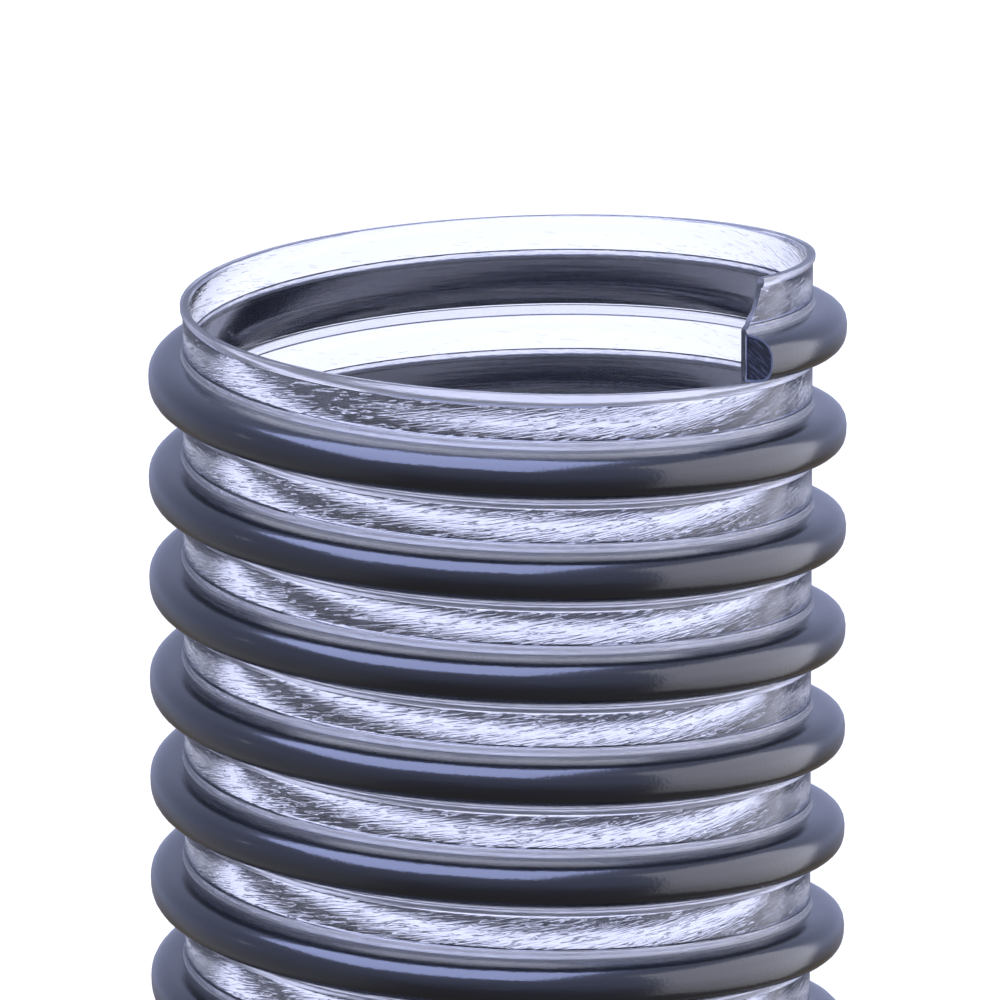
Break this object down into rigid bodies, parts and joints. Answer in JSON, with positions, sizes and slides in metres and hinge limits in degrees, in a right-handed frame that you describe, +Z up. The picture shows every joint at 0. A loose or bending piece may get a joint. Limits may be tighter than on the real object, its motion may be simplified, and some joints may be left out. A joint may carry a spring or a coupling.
{
  "type": "polyurethane duct hose",
  "caption": "Straight cut length of clear flexible duct hose: thin see-through wall with a dark rigid spiral of rounded section round the outside, square lower end and a spiral rim.",
  "frame": {"origin": "centre of the hose's square-cut lower end, on the floor that it stands on", "axes": "+Z up along the hose's bore, towards the spiral rim; the cut end of the spiral at the rim lies in the +X -Y quarter, as in the picture, whose camera looks along +Y"},
  "size_m": [0.1127, 0.1126, 0.5],
  "materials": {
    "clear_polyurethane": "clear and glossy with fine draw lines along the strip",
    "dark_spiral": "satin slate blue, under a thin clear skin"
  },
  "bodies": {
    "root": {"clear_wall": "clear_polyurethane", "spiral_rib": "dark_spiral"}
  },
  "joints": []
}
